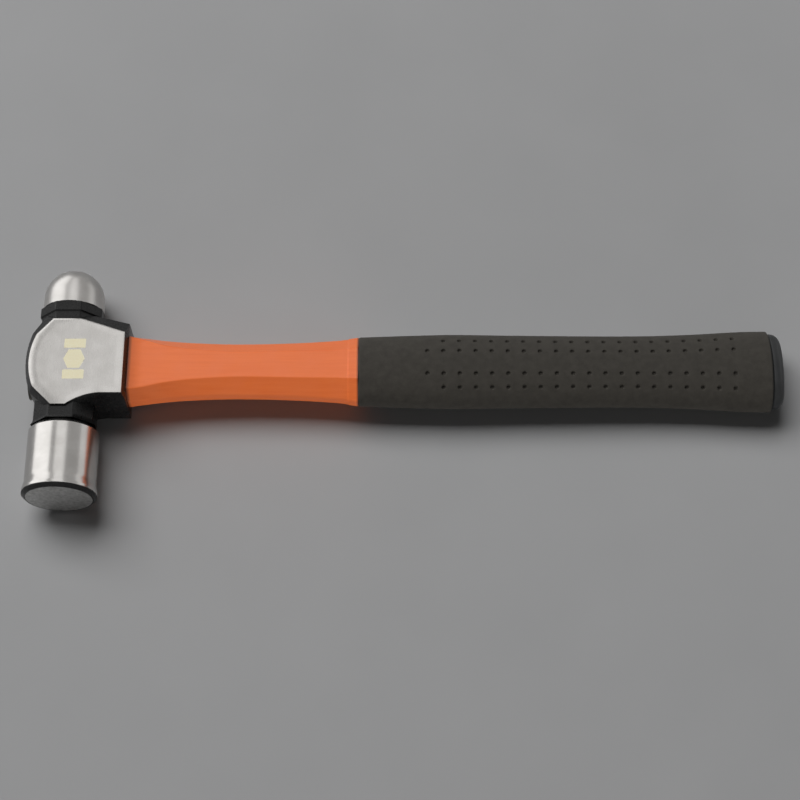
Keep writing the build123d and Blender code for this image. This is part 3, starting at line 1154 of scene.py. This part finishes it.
def floor():
    """Floor tilted to touch the three places that the hammer rests on.

    They are the land of the poll, the lower cheek's edge on the ball side, and the butt."""
    land = Vector((0, LAND_Y - LAND_TOUCH, -FACE_RADIUS))
    cheek_edge = Vector((0, CHEEK_CORNERS["ball_left"][1], -CHEEK_Z))
    butt = Vector((GRIP_END_X - GRIP_LIP, 0, -GRIP_SECTIONS[-1][2]))
    normal = (butt - land).cross(cheek_edge - land).normalized()
    turn = Vector((0, 0, 1)).rotation_difference(normal)
    rim = [Vector((cos(a), sin(a), 0)) * FLOOR_RADIUS for a in even_angles(OVAL_SEGMENTS)]
    bm = bmesh.new()
    bm.faces.new([bm.verts.new(land + turn @ point) for point in rim])
    piece = new_piece("floor", bm)
    place_in_frame(piece)
    piece.data.materials.append(floor_material())


def panel(name, middle, across, along, width, length, radiance):
    """Flat area light at a place in metres from PANEL_AIM, with its two edge directions."""
    light = bpy.data.lights.new(name, "AREA")
    light.shape = "RECTANGLE"
    light.size = width
    light.size_y = length
    light.energy = radiance * pi * width * length
    lamp = bpy.data.objects.new(name, light)
    bpy.context.scene.collection.objects.link(lamp)
    turn = Matrix((across, along, across.cross(along))).transposed()
    lamp.matrix_world = Matrix.LocRotScale(to_frame(PANEL_AIM) + middle, turn, None)
    lamp.visible_camera = False
    return lamp


def softbox(name, tilt, lean, wide, tall, radiance):
    """Panel that lights the hammer, at its tilt to +X and its lean to +Y from overhead.

    Its size is the angle it fills each way. It isn't mirrored in the steel."""
    t, n = radians(tilt), radians(lean)
    away = Vector((sin(t) * cos(n), sin(n), cos(t) * cos(n)))
    across = Vector((cos(t), 0, -sin(t)))
    width, length = (2 * PANEL_DISTANCE * tan(radians(angle / 2)) for angle in (wide, tall))
    lamp = panel(name, away * PANEL_DISTANCE, across, away.cross(across), width, length, radiance)
    lamp.visible_glossy = False


def card(name, tilt, wide, lean_from, lean_to, radiance):
    """Strip at a tilt to +X, parallel to the head's axis, that only shows in reflections.

    It fills an angle across, and reaches from one lean to +Y to another."""
    t = radians(tilt)
    low, high = (PANEL_DISTANCE * tan(radians(lean)) for lean in (lean_from, lean_to))
    middle = Vector((sin(t) * PANEL_DISTANCE, (low + high) / 2, cos(t) * PANEL_DISTANCE))
    across = Vector((cos(t), 0, -sin(t)))
    width = 2 * PANEL_DISTANCE * tan(radians(wide / 2))
    lamp = panel(name, middle, across, Vector((0, 1, 0)), width, high - low, radiance)
    lamp.visible_diffuse = False


def world_light(strength):
    """Even room round the hammer, which only shows in reflections and to the camera."""
    world = bpy.data.worlds.new("studio")
    world.use_nodes = True
    background = world.node_tree.nodes["Background"]
    background.inputs["Color"].default_value = (1.0, 0.99, 0.98, 1.0)
    background.inputs["Strength"].default_value = strength
    world.cycles_visibility.diffuse = False
    bpy.context.scene.world = world


# Camera: the point it looks at and its distance from it, its elevation in degrees, its lens
CAMERA_AIM = (154.27, -14.37, 0.0)
CAMERA_DISTANCE = 837.8
CAMERA_ELEVATION = 65.94
CAMERA_LENS = 81.4
CAMERA_SENSOR = 36.0


def camera():
    """Camera square to the handle, looking down on it."""
    data = bpy.data.cameras.new("camera")
    data.lens = CAMERA_LENS
    data.sensor_width = CAMERA_SENSOR
    eye = bpy.data.objects.new("camera", data)
    bpy.context.scene.collection.objects.link(eye)
    lift = radians(CAMERA_ELEVATION)
    back = Vector((0, -cos(lift), sin(lift)))
    eye.location = to_frame(Vector(CAMERA_AIM) + back * CAMERA_DISTANCE)
    eye.rotation_euler = (pi / 2 - lift, 0, 0)
    bpy.context.scene.camera = eye


def studio():
    bpy.context.scene.view_settings.view_transform = "Standard"
    floor()
    camera()
    world_light(ROOM_LIGHT)
    softbox("key", tilt=-22, lean=26, wide=50, tall=34, radiance=5.5)
    softbox("front", tilt=0, lean=-86.5, wide=50, tall=5, radiance=18.0)
    card("overhead", tilt=2, wide=34, lean_from=-20, lean_to=76, radiance=0.62)
    card("left", tilt=-62.5, wide=64, lean_from=-5, lean_to=76, radiance=1.08)
    card("right", tilt=78, wide=26, lean_from=0, lean_to=50, radiance=0.35)


# Build

def dress(piece, node, material):
    """Piece that stands for a CAD node, on the hammer's one body."""
    place_in_frame(piece)
    piece.data.materials.clear()
    piece.data.materials.append(material)
    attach(piece, "root")
    if node:
        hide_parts(node)


dress(head_forging(), "head_forging", head_material())
dress(resin(), "eye_resin", resin_material())
dress(jacket(), "handle_jacket", jacket_material())
dress(grip(), "grip_sleeve", grip_material())
dress(cap(), "butt_cap", cap_material())
dress(cheek_mark(), None, mark_material())

core = frame["nodes"]["core_rod"]
core.data.materials.clear()
core.data.materials.append(core_material())

studio()
